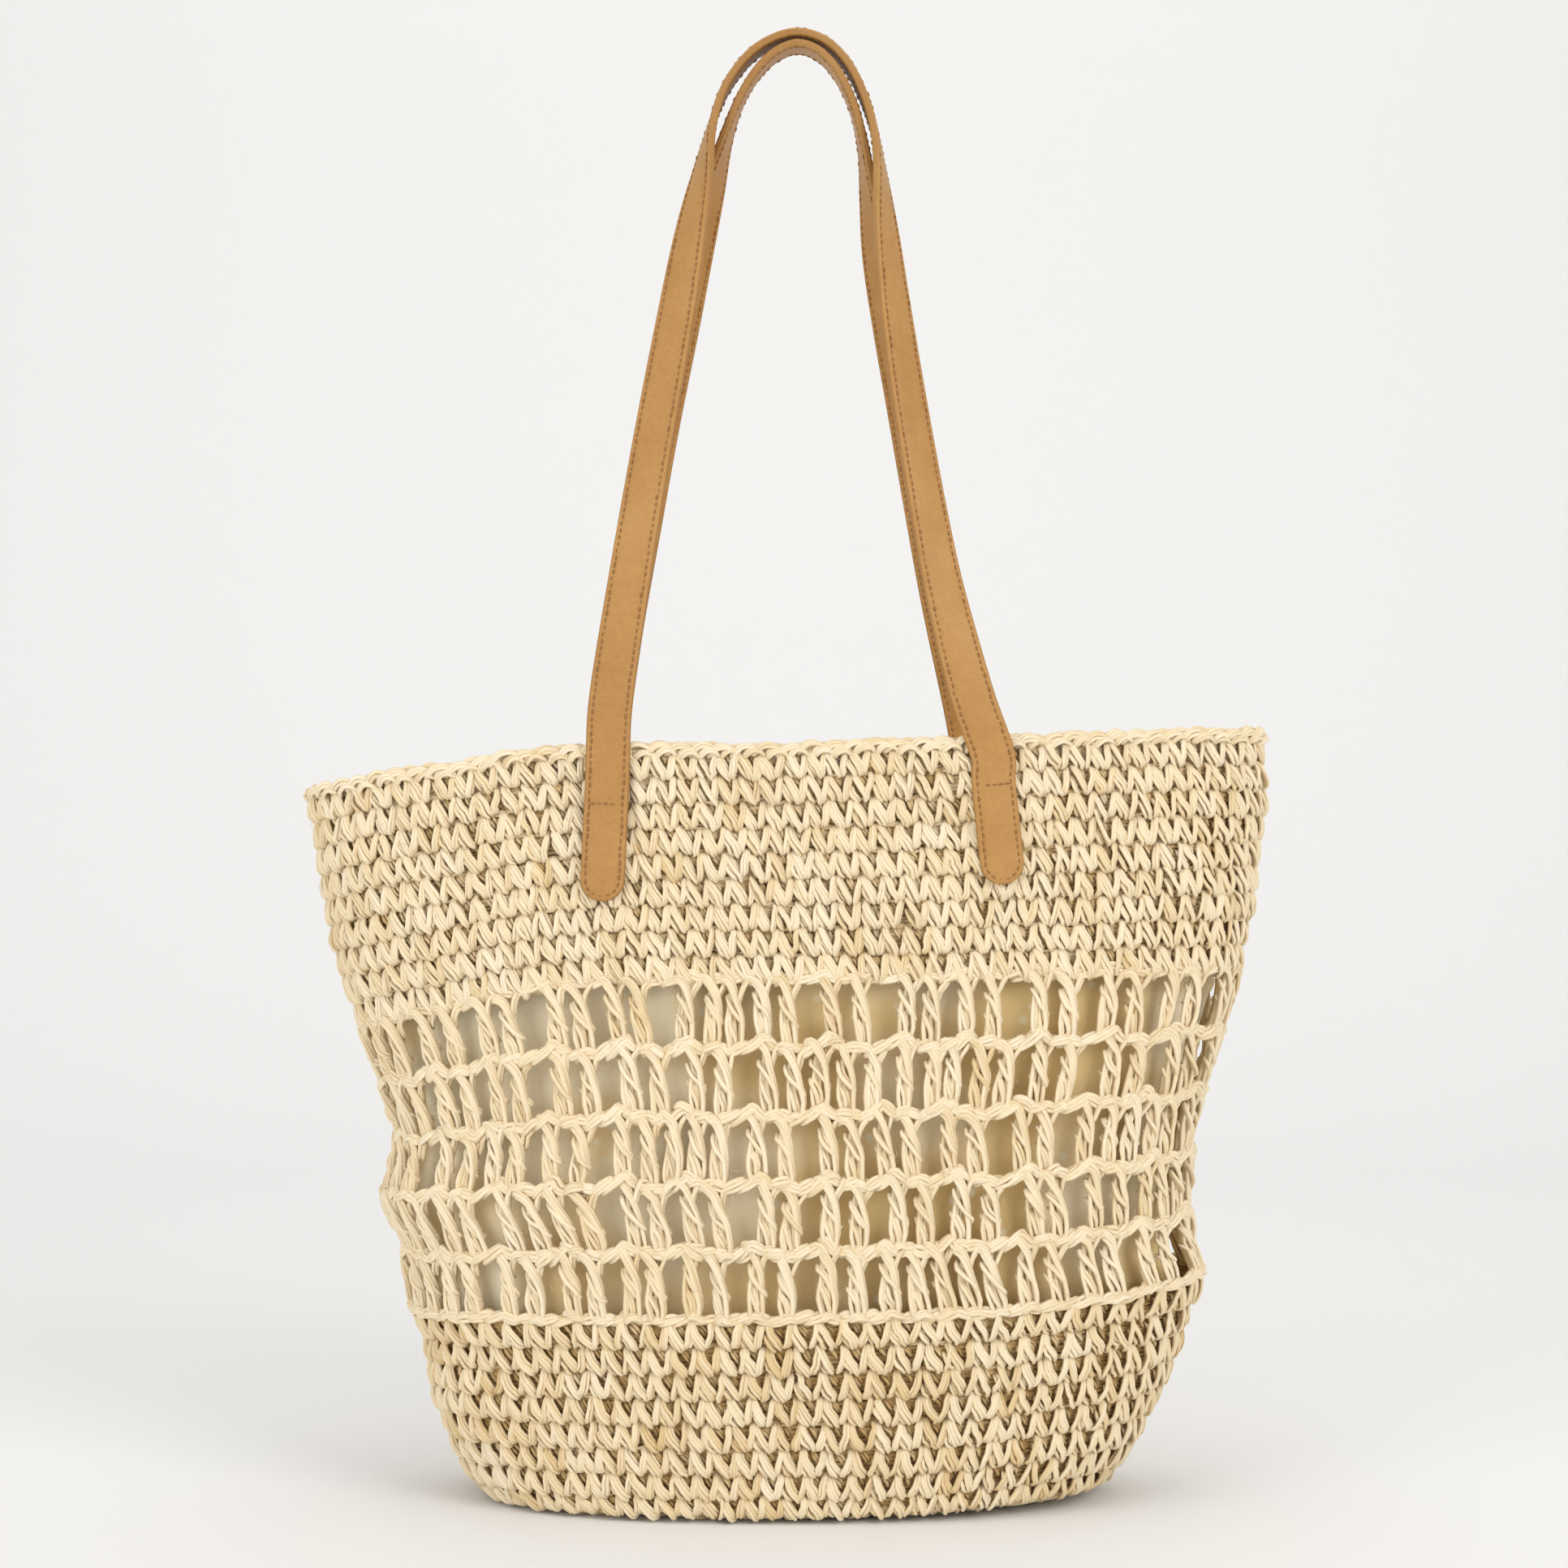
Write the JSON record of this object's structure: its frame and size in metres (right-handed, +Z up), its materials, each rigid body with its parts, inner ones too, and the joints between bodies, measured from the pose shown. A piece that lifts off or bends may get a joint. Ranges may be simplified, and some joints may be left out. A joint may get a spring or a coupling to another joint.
{
  "type": "crocheted tote bag",
  "caption": "Open-topped crocheted straw tote with an oval base, an openwork middle band, a loose cloth lining and long sewn shoulder straps that fold down.",
  "frame": {"origin": "on the floor under the middle of the bag's overall box", "axes": "+Z up, +X to the right seen from the front, front of the bag towards -Y"},
  "size_m": [0.4482, 0.1484, 0.6832],
  "materials": {
    "straw_yarn": "matt twisted paper-straw yarn",
    "lining_cloth": "plain thin polyester lining",
    "strap_leather": "smooth synthetic leather, fine grain, satin",
    "strap_leather_back": "synthetic leather backing, satin",
    "seam_thread": "polyester sewing thread"
  },
  "bodies": {
    "bag": {"crochet_base": "straw_yarn", "crochet_lower_band": "straw_yarn", "crochet_openwork_band": "straw_yarn", "crochet_upper_band": "straw_yarn", "crochet_rim_round": "straw_yarn", "lining_bag": "lining_cloth", "lining_hem": "lining_cloth", "front_left_tab": "strap_leather", "front_right_tab": "strap_leather", "back_left_tab": "strap_leather", "back_right_tab": "strap_leather", "front_left_patch": "strap_leather_back", "front_right_patch": "strap_leather_back", "back_left_patch": "strap_leather_back", "back_right_patch": "strap_leather_back", "front_left_tab_stitching": "seam_thread", "front_right_tab_stitching": "seam_thread", "back_left_tab_stitching": "seam_thread", "back_right_tab_stitching": "seam_thread"},
    "front_strap": {"front_strap_face": "strap_leather", "front_strap_backing": "strap_leather_back", "front_strap_seam_thread": "seam_thread"},
    "back_strap": {"back_strap_face": "strap_leather", "back_strap_backing": "strap_leather_back", "back_strap_seam_thread": "seam_thread"}
  },
  "joints": [
    {"name": "front_strap_fold", "type": "hinge", "parent": "bag", "child": "front_strap", "pos_m": [0.00567, -0.06097, 0.33047], "axis": [1, 0.0046, -0.0001], "range_deg": [0, 150]},
    {"name": "back_strap_fold", "type": "hinge", "parent": "bag", "child": "back_strap", "pos_m": [0.0011, 0.06084, 0.33047], "axis": [-1, 0.0009, 0], "range_deg": [0, 150]}
  ]
}
